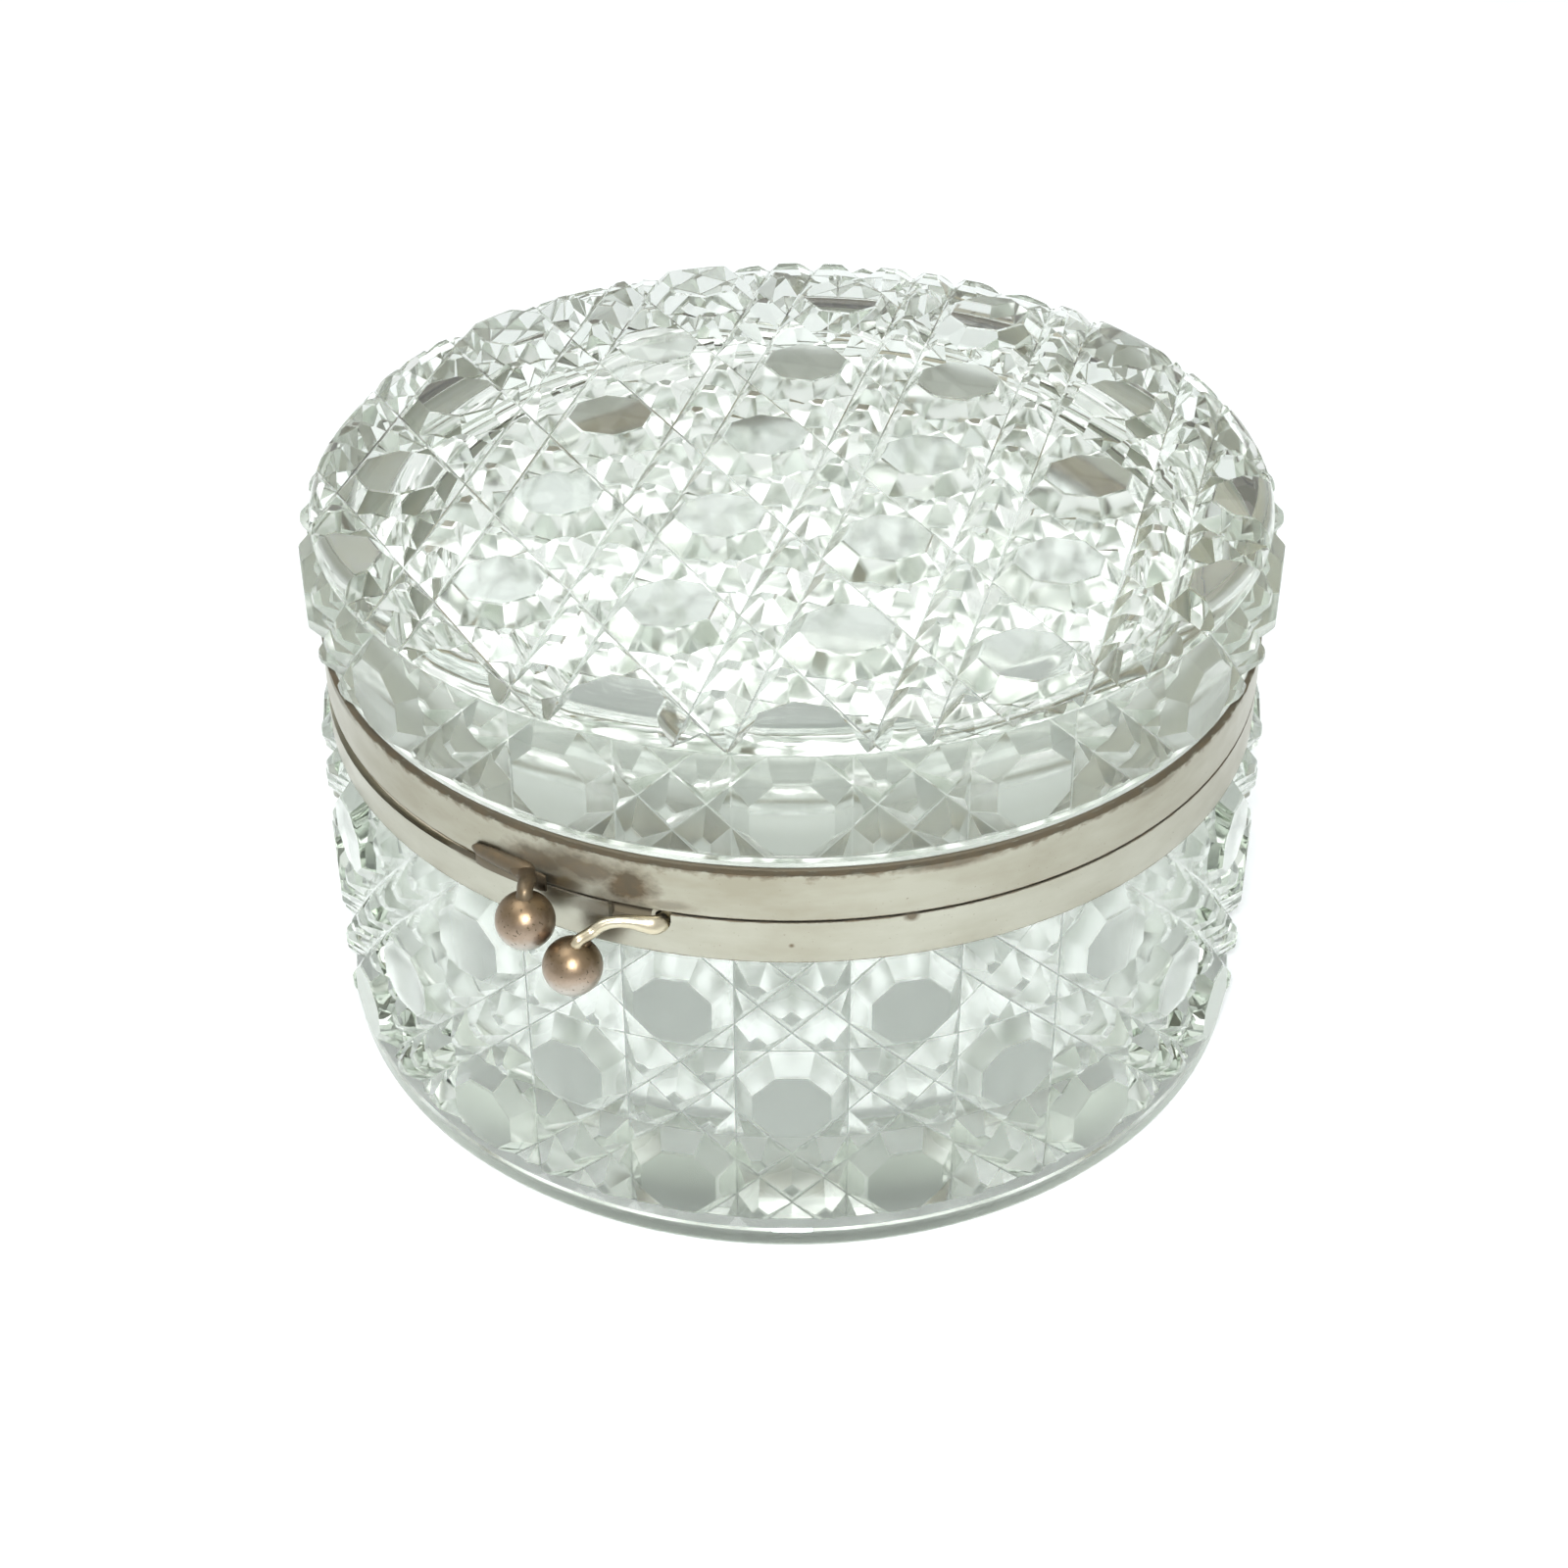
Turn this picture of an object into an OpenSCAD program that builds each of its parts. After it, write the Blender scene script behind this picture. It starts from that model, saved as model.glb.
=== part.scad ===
// Round cut-glass powder jar with a hinged lid, two metal collars and a ball clasp.
// Millimetres. Origin: centre of the foot on the table. +Z up, clasp towards -Y, hinge at +Y.

/* [Node] */
// Which piece to show

/* [Overall] */
// Outside radius of both metal collars
collar_radius = 58.0; // [46:0.5:72]
// Height of the joint between jar and lid
seam_height = 49.0; // [42:0.5:70]
// Height of the lid's flat top above the joint, without its buttons
lid_height = 22.0; // [19:0.5:32]

/* [Glass] */
// Thickness of the jar and lid walls
glass_wall = 7.6; // [5:0.2:10]
// Thickness of the jar's floor
floor_thickness = 9.0; // [6:0.5:14]
// Thickness of the lid's crown
crown_thickness = 8.5; // [6:0.5:12]
// How far the jar's foot band stands out past the ground of the pattern
foot_proud = 1.4; // [0.4:0.1:2]
// Height of the plain polished foot band
foot_band = 3.3; // [2:0.1:6]
// Width of the polished round-over at the lid's rim
rim_bevel = 1.6; // [0.8:0.1:2.4]
// Inside corner radius of the jar's floor and the lid's crown
inside_round = 5.0; // [2:0.5:7]

/* [Cut pattern] */
// Buttons in one row round the jar
buttons_per_row = 14; // [10:1:18]
// Rows of buttons on the jar
jar_rows = 3; // [2:1:3]
// How far a button stands above the ground of the pattern
button_height = 2.2; // [0.8:0.1:2.4]
// Width of a button across its flats, as a share of its cell
button_share = 0.78; // [0.5:0.02:0.84]
// Height of a star block, as a share of the button height
star_share = 0.6; // [0.3:0.05:0.9]
// Spacing of the buttons on top of the lid
top_spacing = 20.0; // [16:0.1:26]
// Turn of the top pattern about the lid's middle
top_turn = 11.0; // [0:0.5:45]
// Sideways start of the top pattern
top_shift_x = -2.0; // [-10:0.5:10]
// Front-to-back start of the top pattern
top_shift_y = -15.0; // [-20:0.5:20]

/* [Collars] */
// Visible height of the jar's collar
lower_band = 5.7; // [4.5:0.1:9]
// Visible height of the lid's collar
upper_band = 6.2; // [5.2:0.1:10]
// Thickness of the collar sheet
collar_sheet = 0.9; // [0.6:0.1:1.4]
// Gap between the two collars when the lid is shut
seam_gap = 0.3; // [0.3:0.05:0.6]
// Thickness of the cement between glass and collar
cement_thickness = 1.9; // [1:0.1:3]
// Thin bed of cement between a glass rim and its rim ring
cement_bed = 0.3; // [0.2:0.1:0.8]
// Open gap between a collar's edge and the glass shoulder
shoulder_gap = 0.4; // [0.2:0.1:0.8]
// How far a rim ring covers the glass rim on the inside
rim_cover = 0.6; // [0.3:0.1:1.5]
// Height of the locating lip above the joint
lip_height = 2.6; // [1.5:0.1:4]
// Thickness of the locating lip
lip_sheet = 0.8; // [0.5:0.1:1.2]
// Clear space between the lip and the lid's rim ring
lip_clearance = 0.45; // [0.35:0.05:1]

/* [Lift gap] */
// Depth of the lift gap beside the clasp
lift_gap_depth = 0.8; // [0.3:0.1:1.5]
// Slope of the lift gap away from the clasp
lift_gap_slope = 2.2; // [0:0.1:3]
// Angle round the collar that the lift gap covers
lift_gap_arc = 62; // [20:1:70]

/* [Hinge] */
// Radius of the hinge pin
pin_radius = 0.9; // [0.6:0.05:1.2]
// Running clearance round the pin
pin_clearance = 0.05; // [0.02:0.01:0.1]
// Outside radius of the knuckles
knuckle_radius = 2.1; // [1.8:0.05:2.6]
// Width of the hinge
hinge_width = 26; // [20:1:34]
// Gap between neighbouring knuckles
knuckle_gap = 0.3; // [0.25:0.05:0.5]
// Gap between the knuckles and the collars
knuckle_standoff = 0.4; // [0.35:0.05:0.8]
// Thickness of a hinge leaf at its middle
leaf_sheet = 1.0; // [0.7:0.1:1.5]

/* [Clasp] */
// Radius of both clasp balls
ball_radius = 3.35; // [2.5:0.05:3.4]
// Radius of the clasp wires
wire_radius = 0.7; // [0.5:0.05:0.9]
// Thickness of the tab under the lid ball
tab_sheet = 0.7; // [0.5:0.1:1]
// Clear space behind the tab where it hangs over the jar's collar
tab_clearance = 0.3; // [0.25:0.05:0.5]
// Turn of the lid ball from the middle of the front, to the left
lid_ball_turn = 2.3; // [1.5:0.1:3]
// Turn of the latch ball from the middle of the front, to the right
latch_ball_turn = 3.3; // [3.2:0.1:5]
// Distance from the joint down to the lid ball's middle
lid_ball_drop = 2.3; // [1.5:0.1:2.6]
// Distance from the joint down to the latch ball's middle
latch_ball_drop = 6.1; // [6:0.1:7.5]
// Space between the collar and the lid ball
ball_standoff = 0.75; // [0.5:0.05:1.2]

/* [Hidden] */
round_fn = 128;
eps = 0.01;

// collars, from the outside in
sheet_inner = collar_radius - collar_sheet;
neck_radius = sheet_inner - cement_thickness;
ground_radius = collar_radius - 0.8;
hollow_radius = neck_radius - (glass_wall - (ground_radius - neck_radius));
lower_top = seam_height - seam_gap / 2;
upper_bottom = seam_height + seam_gap / 2;
lower_bottom = seam_height - lower_band;
upper_top = seam_height + upper_band;
ring_sheet = collar_sheet;
ring_inner = hollow_radius - rim_cover;
lip_outer = ring_inner - lip_clearance;

// glass heights
jar_shoulder = lower_bottom - shoulder_gap;
jar_rim = lower_top - ring_sheet - cement_bed;
lid_shoulder = upper_top + shoulder_gap;
lid_rim = upper_bottom + ring_sheet + cement_bed;
lid_top = seam_height + lid_height;
crown_under = lid_top - crown_thickness;

// cut pattern cells
cell_turn = 360 / buttons_per_row;
cell_width = PI * (ground_radius + button_height) / buttons_per_row;
flat_to_corner = 1 / cos(22.5);
jar_pitch = min(cell_width, (jar_shoulder - foot_band) / jar_rows);
side_cell = min(cell_width, jar_pitch);
lid_side_height = lid_top - rim_bevel - lid_shoulder;
lid_cell = min(cell_width, lid_side_height - 1);
lid_row_height = lid_top - rim_bevel - lid_cell / 2 - 0.4;
top_cell = top_spacing / sqrt(2);
top_radius = ground_radius - rim_bevel - 0.3;
top_steps = ceil(2 * top_radius / top_spacing);
sink = 0.8;
star_reach = 0.3;

// hinge
pin_y = collar_radius + knuckle_radius + knuckle_standoff;
knuckle_count = 5;
knuckle_pitch = hinge_width / knuckle_count;
leaf_outer = collar_radius + leaf_sheet;
leaf_reach = 4.3;
swing_room = knuckle_radius + 0.4;

// clasp
tab_left = -11.0;
tab_right = -1.6;
tab_outer = collar_radius + tab_clearance + tab_sheet;
tab_low = seam_height - 0.8;
tab_high = seam_height + 3.1;
tab_mid = (tab_low + tab_high) / 2;
lid_ball_reach = collar_radius + ball_radius + ball_standoff;
lid_ball_at = polar(lid_ball_reach, -lid_ball_turn, seam_height - lid_ball_drop);
latch_ball_reach = lid_ball_reach + 0.7;
latch_ball_at = polar(latch_ball_reach, latch_ball_turn, seam_height - latch_ball_drop);
slot_start = 5.5;
slot_end = 12.8;
slot_depth = 2.7;
slot_round = 1.25;
pivot_turn = 11.3;
pivot_height = seam_height - 1.4;
pivot_inner = neck_radius + 0.35;
pivot_clearance = 0.05;
wire_reach = collar_radius + wire_radius + 0.35;
anchor_radius = 1.2;
wire_fn = 32;
bend_swell = 1.12;

function polar(reach, turn, height) = [reach * sin(turn), -reach * cos(turn), height];

stem_path = [
    polar(collar_radius, -lid_ball_turn - 0.5, seam_height + 2.0),
    polar(lid_ball_reach - 0.8, -lid_ball_turn - 0.5, seam_height + 2.0),
    lid_ball_at + [0, 0.3, ball_radius - 1.2]];
arm_path = [
    polar(pivot_inner, pivot_turn, pivot_height),
    polar(wire_reach, pivot_turn, pivot_height),
    polar(wire_reach + 0.4, pivot_turn - 4.4, pivot_height + 0.7),
    polar(wire_reach + 1.9, pivot_turn - 6.3, pivot_height - 0.9),
    latch_ball_at + [0.7, 0.2, ball_radius - 1.4]];

// A ring with a plain rectangular section.
module ring(inner, outer, low, high) {
    rotate_extrude($fn = round_fn)
        translate([inner, low])
            square([outer - inner, high - low]);
}

// Part of a ring, between two turns from the middle of the front.
module ring_part(inner, outer, low, high, start, end) {
    rotate([0, 0, start - 90])
        rotate_extrude(angle = end - start, $fn = round_fn)
            translate([inner, low])
                square([outer - inner, high - low]);
}

// A straight length of round wire.
module rod(from, to, radius) {
    run = to - from;
    length = norm(run);
    translate(from)
        rotate([0, acos(run[2] / length), atan2(run[1], run[0])])
            cylinder(h = length, r = radius, $fn = wire_fn);
}

// A bent wire: straight lengths with a round bend between them.
module wire(path, radius) {
    for (i = [0 : len(path) - 2])
        rod(path[i], path[i + 1], radius);
    for (i = [1 : len(path) - 2])
        translate(path[i])
            sphere(r = radius * bend_swell, $fn = wire_fn);
}

// One eight-sided button, standing on the ground of the pattern.
module button(cell) {
    translate([0, 0, -sink])
        rotate([0, 0, 22.5])
            cylinder(h = sink + button_height, r = cell * button_share / 2 * flat_to_corner, $fn = 8);
}

// The raised square at the middle of a star cell.
module star(cell) {
    translate([0, 0, -sink])
        cylinder(h = sink + button_height * star_share, r = cell * star_reach, $fn = 4);
}

// Stand the children on the side of the glass, facing outwards.
module on_side(turn, height) {
    rotate([0, 0, turn])
        translate([0, -ground_radius, height])
            rotate([90, 0, 0])
                children();
}

// One row of alternating buttons and stars.
module side_row(height, cell, start) {
    for (i = [0 : buttons_per_row - 1]) {
        on_side(start + i * cell_turn, height)
            button(cell);
        on_side(start + (i + 0.5) * cell_turn, height)
            star(cell);
    }
}

// The buttons and stars on top of the lid, trimmed by its rim.
module top_pattern() {
    intersection() {
        translate([0, 0, lid_top - sink])
            cylinder(h = sink + button_height + eps, r = top_radius, $fn = round_fn);
        translate([top_shift_x, top_shift_y, lid_top])
            rotate([0, 0, top_turn])
                for (i = [-top_steps : top_steps], j = [-top_steps : top_steps])
                    top_cells(i * top_spacing, j * top_spacing);
    }
}

// How far a spot of the top pattern lies from the lid's middle.
function top_distance(x, y) = norm([
    top_shift_x + x * cos(top_turn) - y * sin(top_turn),
    top_shift_y + x * sin(top_turn) + y * cos(top_turn)]);

module top_cells(x, y) {
    half = top_spacing / 2;
    if (top_distance(x, y) < top_radius + top_cell * 0.2)
        translate([x, y, 0])
            button(top_cell);
    if (top_distance(x + half, y + half) < top_radius - top_cell * 0.1)
        translate([x + half, y + half, 0])
            rotate([0, 0, 45])
                star(top_cell);
}

module base_glass() {
    color([0.86, 0.93, 0.88, 0.35]) {
        difference() {
            rotate_extrude($fn = round_fn)
                polygon([
                    [0, 0],
                    [ground_radius + foot_proud - 0.8, 0],
                    [ground_radius + foot_proud, 0.8],
                    [ground_radius + foot_proud, foot_band - 0.6],
                    [ground_radius, foot_band],
                    [ground_radius, jar_shoulder],
                    [neck_radius, jar_shoulder],
                    [neck_radius, jar_rim],
                    [0, jar_rim]]);
            hollow(floor_thickness, jar_rim + eps);
        }
        for (row = [0 : jar_rows - 1])
            side_row(
                jar_shoulder - (row + 0.5) * jar_pitch,
                side_cell,
                (row % 2 == 0) ? cell_turn / 2 : 0);
    }
}

// The round hollow inside the jar, with a soft inside corner.
module hollow(low, high) {
    rotate_extrude($fn = round_fn)
        polygon([
            [0, low],
            [hollow_radius - inside_round, low],
            [hollow_radius - inside_round * 0.62, low + inside_round * 0.076],
            [hollow_radius - inside_round * 0.29, low + inside_round * 0.29],
            [hollow_radius - inside_round * 0.076, low + inside_round * 0.62],
            [hollow_radius, low + inside_round],
            [hollow_radius, high],
            [0, high]]);
}

module lid_glass() {
    color([0.86, 0.93, 0.88, 0.35]) {
        difference() {
            rotate_extrude($fn = round_fn)
                polygon([
                    [0, lid_rim],
                    [neck_radius, lid_rim],
                    [neck_radius, lid_shoulder],
                    [ground_radius, lid_shoulder],
                    [ground_radius, lid_top - rim_bevel],
                    [ground_radius - rim_bevel * 0.3, lid_top - rim_bevel * 0.3],
                    [ground_radius - rim_bevel, lid_top],
                    [0, lid_top]]);
            translate([0, 0, crown_under + lid_rim])
                mirror([0, 0, 1])
                    hollow(lid_rim, crown_under + eps);
        }
        side_row(lid_row_height, lid_cell, 0);
        top_pattern();
    }
}

module lower_cement() {
    color([0.86, 0.84, 0.78])
        difference() {
            rotate_extrude($fn = round_fn)
                polygon([
                    [neck_radius, lower_bottom],
                    [sheet_inner, lower_bottom],
                    [sheet_inner, jar_rim + cement_bed],
                    [hollow_radius, jar_rim + cement_bed],
                    [hollow_radius, jar_rim],
                    [neck_radius, jar_rim]]);
            ring_part(neck_radius - 1, sheet_inner + 1, pivot_height - 2.2, lower_top,
                slot_start - 0.6, slot_end + 0.8);
        }
}

module upper_cement() {
    color([0.86, 0.84, 0.78])
        rotate_extrude($fn = round_fn)
            polygon([
                [hollow_radius, lid_rim - cement_bed],
                [sheet_inner, lid_rim - cement_bed],
                [sheet_inner, upper_top - shoulder_gap],
                [neck_radius, upper_top - shoulder_gap],
                [neck_radius, lid_rim],
                [hollow_radius, lid_rim]]);
}

module lower_collar() {
    color([0.66, 0.62, 0.55])
        difference() {
            ring(sheet_inner, collar_radius, lower_bottom, lower_top);
            latch_slot();
            lift_gap();
        }
}

// The notch that the latch wire comes out of.
module latch_slot() {
    ring_part(sheet_inner - eps, collar_radius + eps, pivot_height - slot_round, lower_top + eps,
        slot_start, pivot_turn);
    ring_part(sheet_inner - eps, collar_radius + eps, pivot_height, lower_top + eps,
        slot_start, slot_end - 0.2);
    rotate([0, 0, pivot_turn])
        translate([0, -sheet_inner + 1, pivot_height])
            rotate([90, 0, 0])
                cylinder(h = collar_sheet + 2, r = slot_round, $fn = wire_fn);
}

// The long sloping gap that lets a finger lift the lid.
module lift_gap() {
    intersection() {
        ring_part(sheet_inner - eps, collar_radius + eps, lower_bottom, lower_top + 1,
            tab_left - lift_gap_arc, tab_left);
        rotate([0, 0, tab_left])
            translate([0, 0, lower_top - lift_gap_depth])
                rotate([0, -lift_gap_slope, 0])
                    translate([0, 0, 10])
                        cube([4 * collar_radius, 4 * collar_radius, 20], center = true);
    }
}

module upper_collar() {
    color([0.66, 0.62, 0.55])
        ring(sheet_inner, collar_radius, upper_bottom, upper_top);
}

module lower_rim_ring() {
    color([0.62, 0.57, 0.48])
        difference() {
            ring(lip_outer, sheet_inner, lower_top - ring_sheet, lower_top);
            ring_part(pivot_inner - 0.5, sheet_inner + 1, lower_top - ring_sheet - 1, lower_top + 1,
                slot_start - 0.6, slot_end + 0.8);
        }
}

module upper_rim_ring() {
    color([0.62, 0.57, 0.48])
        ring(ring_inner, sheet_inner, upper_bottom, upper_bottom + ring_sheet);
}

module locating_lip() {
    color([0.62, 0.57, 0.48])
        ring(lip_outer - lip_sheet, lip_outer, lower_top - ring_sheet, lower_top + lip_height);
}

// Lengths of knuckle along the pin: even places or odd places.
module knuckles(first, grow, radius) {
    for (i = [first : 2 : knuckle_count - 1])
        translate([-hinge_width / 2 + i * knuckle_pitch + knuckle_gap / 2 - grow, pin_y, seam_height])
            rotate([0, 90, 0])
                cylinder(h = knuckle_pitch - knuckle_gap + 2 * grow, r = radius, $fn = 48);
}

module pin_bore() {
    translate([-hinge_width, pin_y, seam_height])
        rotate([0, 90, 0])
            cylinder(h = 2 * hinge_width, r = pin_radius + pin_clearance, $fn = 48);
}

// A leaf that lies on one collar; its inner face follows the collar.
module leaf_plate(low, high) {
    difference() {
        translate([-hinge_width / 2, 0, low])
            cube([hinge_width, leaf_outer, high - low]);
        translate([0, 0, low - 1])
            cylinder(h = high - low + 2, r = collar_radius, $fn = round_fn);
    }
}

// Webs that join a leaf's knuckles to its plate.
module webs(first, low, high) {
    for (i = [first : 2 : knuckle_count - 1])
        translate([
            -hinge_width / 2 + i * knuckle_pitch + knuckle_gap / 2,
            leaf_outer - leaf_sheet / 2,
            low])
            cube([knuckle_pitch - knuckle_gap, pin_y - leaf_outer + leaf_sheet / 2, high - low]);
}

module lower_hinge_leaf() {
    color([0.60, 0.55, 0.46])
        difference() {
            union() {
                difference() {
                    leaf_plate(seam_height - 1 - leaf_reach, seam_height - 0.5);
                    knuckles(1, knuckle_gap, swing_room);
                }
                webs(0, seam_height - knuckle_radius, seam_height - knuckle_radius + 1.0);
                knuckles(0, 0, knuckle_radius);
            }
            pin_bore();
        }
}

module upper_hinge_leaf() {
    color([0.60, 0.55, 0.46])
        difference() {
            union() {
                difference() {
                    leaf_plate(seam_height + 0.5, seam_height + 1 + leaf_reach);
                    knuckles(0, knuckle_gap, swing_room);
                }
                webs(1, seam_height + knuckle_radius - 1.0, seam_height + knuckle_radius);
                knuckles(1, 0, knuckle_radius);
            }
            pin_bore();
        }
}

module hinge_pin() {
    color([0.58, 0.52, 0.42])
        translate([-hinge_width / 2 - 0.5, pin_y, seam_height])
            rotate([0, 90, 0])
                cylinder(h = hinge_width + 1, r = pin_radius, $fn = 48);
}

module lid_tab() {
    color([0.36, 0.30, 0.24])
        difference() {
            ring_part(collar_radius, tab_outer, tab_low, tab_high, tab_left, tab_right);
            ring(collar_radius - 1, collar_radius + tab_clearance, tab_low - 1, upper_bottom);
            rod(stem_path[0] - (stem_path[1] - stem_path[0]), stem_path[1], wire_radius);
        }
}

module tab_stem() {
    color([0.45, 0.36, 0.26])
        wire(stem_path, wire_radius);
}

module lid_ball() {
    color([0.48, 0.34, 0.24])
        difference() {
            translate(lid_ball_at)
                sphere(r = ball_radius, $fn = 64);
            wire(stem_path, wire_radius);
        }
}

module latch_anchor() {
    color([0.60, 0.55, 0.46])
        difference() {
            rotate([0, 0, pivot_turn])
                translate([0, -neck_radius - 0.1, pivot_height])
                    rotate([90, 0, 0])
                        cylinder(h = sheet_inner - neck_radius - 0.2, r = anchor_radius, $fn = wire_fn);
            rotate([0, 0, pivot_turn])
                translate([0, -pivot_inner + 0.1, pivot_height])
                    rotate([90, 0, 0])
                        cylinder(h = sheet_inner, r = wire_radius + pivot_clearance, $fn = wire_fn);
        }
}

module latch_arm() {
    color([0.62, 0.53, 0.38])
        wire(arm_path, wire_radius);
}

module latch_ball() {
    color([0.48, 0.34, 0.24])
        difference() {
            translate(latch_ball_at)
                sphere(r = ball_radius, $fn = 64);
            wire(arm_path, wire_radius);
        }
}

base_glass();
lid_glass();
lower_cement();
upper_cement();
lower_collar();
upper_collar();
lower_rim_ring();
upper_rim_ring();
locating_lip();
lower_hinge_leaf();
upper_hinge_leaf();
hinge_pin();
lid_tab();
tab_stem();
lid_ball();
latch_anchor();
latch_arm();
latch_ball();
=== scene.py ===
import math

import bmesh
import bpy
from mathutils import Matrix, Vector


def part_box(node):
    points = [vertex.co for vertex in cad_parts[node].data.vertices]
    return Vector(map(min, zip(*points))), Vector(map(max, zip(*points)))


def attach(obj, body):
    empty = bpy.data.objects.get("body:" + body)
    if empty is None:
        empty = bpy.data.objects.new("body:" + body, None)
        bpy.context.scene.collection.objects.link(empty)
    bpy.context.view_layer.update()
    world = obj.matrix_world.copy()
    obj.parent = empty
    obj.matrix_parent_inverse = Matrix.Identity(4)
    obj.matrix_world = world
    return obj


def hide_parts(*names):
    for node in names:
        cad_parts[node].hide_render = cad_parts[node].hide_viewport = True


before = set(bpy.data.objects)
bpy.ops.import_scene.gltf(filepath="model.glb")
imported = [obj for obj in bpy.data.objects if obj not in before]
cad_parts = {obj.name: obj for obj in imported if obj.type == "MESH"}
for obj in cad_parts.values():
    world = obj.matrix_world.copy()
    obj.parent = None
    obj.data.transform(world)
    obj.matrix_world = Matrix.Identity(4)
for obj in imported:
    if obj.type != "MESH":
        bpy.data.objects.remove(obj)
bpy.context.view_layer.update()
mm = 0.001
weld, speck = 0.012 * mm, 0.004 * mm      # corners closer than this are joined


def boxMm(name):
    low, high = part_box(name)
    return [v / mm for v in low], [v / mm for v in high]


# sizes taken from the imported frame, in millimetres
collarLow, collarHigh = boxMm("lower_collar")
upperLow, upperHigh = boxMm("upper_collar")
jarHigh = boxMm("base_glass")[1]
lidLow, lidHigh = boxMm("lid_glass")
collarRadius = max(upperHigh[0], upperHigh[1])
seamHeight = (upperLow[2] + collarHigh[2]) / 2
print("collar radius %.2f, seam %.2f, lid top %.2f" % (collarRadius, seamHeight, lidHigh[2]))

cut = {
    "faceRadius": collarRadius + 1.4,   # button faces stand this far out
    "depth": 2.2,                       # mitre cuts on the sides
    "cells": 28,                        # buttons and stars in turn round the side
    "topPitch": 14.14,                  # cell size on top of the lid
    "topTurn": 56.0,                    # how the top's pattern is turned, in degrees
    "topButton": (-2.0, -15.0),         # the middle of one button on top
    "topDepth": 2.3,
    "top": lidHigh[2],
    "rimRound": 3.0,                    # round-over at the lid's rim
    "rimRadius": collarRadius - 0.1,
    "rimStop": collarRadius - 0.22,     # the top's cuts stop here
    "rimSides": 120,
    "slope": 1.12,                      # how steep the cuts are
    "grooveFloor": 0.09,
    "easedEdge": 0.07,
    "splitArea": 1e-5, "faceArea": 1e-6,    # smaller bits than these are dropped
}


def trim(poly, a, b, c, tiny=1e-7):
    # the part of a polygon where a*x + b*y + c is not negative
    out = []
    for k, here in enumerate(poly):
        there = poly[(k + 1) % len(poly)]
        h = a * here[0] + b * here[1] + c
        t = a * there[0] + b * there[1] + c
        if h >= -tiny:
            out.append(here)
        if (h > tiny and t < -tiny) or (h < -tiny and t > tiny):
            s = h / (h - t)
            out.append((here[0] + (there[0] - here[0]) * s, here[1] + (there[1] - here[1]) * s))
    return out


def area(poly):
    return 0.5 * sum(p[0] * q[1] - q[0] * p[1] for p, q in zip(poly, poly[1:] + poly[:1]))


def split(polys, a, b, c):
    out = []
    for poly in polys:
        for sign in (1, -1):
            part = trim(poly, a * sign, b * sign, c * sign)
            if len(part) > 2 and abs(area(part)) > cut["splitArea"]:
                out.append(part)
    return out


def inset(poly, width):
    # the same corners, moved in from a convex outline
    normals = []
    for p, q in zip(poly, poly[1:] + poly[:1]):
        length = math.hypot(q[0] - p[0], q[1] - p[1])
        normals.append((-(q[1] - p[1]) / length, (q[0] - p[0]) / length))
    out = []
    for k, p in enumerate(poly):
        (a, b), (c, d) = normals[k - 1], normals[k]
        cross = a * d - b * c
        if abs(cross) < 1e-6:
            out.append((p[0] + c * width, p[1] + d * width))
        else:
            out.append((p[0] + width * (d - b) / cross, p[1] + width * (a - c) / cross))
    return out, normals


def envelope(planes, domain, limits):
    # the lowest of several planes over a convex outline
    for a, b, c in limits:
        if len(domain) > 2:
            domain = trim(domain, a, b, c)
    faces = []
    if len(domain) < 3 or abs(area(domain)) < cut["faceArea"]:
        return faces
    for k, (a, b, c) in enumerate(planes):
        part = domain
        for j, (d, e, f) in enumerate(planes):
            if j != k and len(part) > 2:
                part = trim(part, d - a, e - b, f - c)
        if len(part) > 2 and abs(area(part)) > cut["faceArea"]:
            faces.append([(x, y, a * x + b * y + c) for x, y in part])
    return faces


def roof(poly, depth, slope, extra=(), limits=()):
    # one cut region: a narrow groove floor, slopes, an eased edge and the uncut face
    width, ease = cut["grooveFloor"], cut["easedEdge"]
    inner, normals = inset(poly, width)
    planes = [(0.0, 0.0, 0.0)]
    for p, (nx, ny) in zip(inner, normals):
        start = nx * p[0] + ny * p[1]
        planes.append((nx * slope, ny * slope, -start * slope - depth))
        half = slope * 0.45
        planes.append((nx * half, ny * half, -(start + depth / slope) * half - ease))
    faces = envelope(planes + list(extra), inner, limits)
    for k in range(len(poly)):
        n = (k + 1) % len(poly)
        strip = [poly[k], poly[n], inner[n], inner[k]]
        faces += envelope([(0.0, 0.0, -depth)] + list(extra), strip, limits)
    return faces


def cellRegions(isButton):
    # one cell, -0.5 to 0.5 each way, split by the slanting cuts
    parts = [[(-0.5, -0.5), (0.5, -0.5), (0.5, 0.5), (-0.5, 0.5)]]
    r = math.sqrt(0.5)
    reach = 0.5 if isButton else r - 0.5
    for a, b in ((r, r), (r, -r)):
        for c in (reach, -reach):
            parts = split(parts, a, b, c)
    return parts


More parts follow.
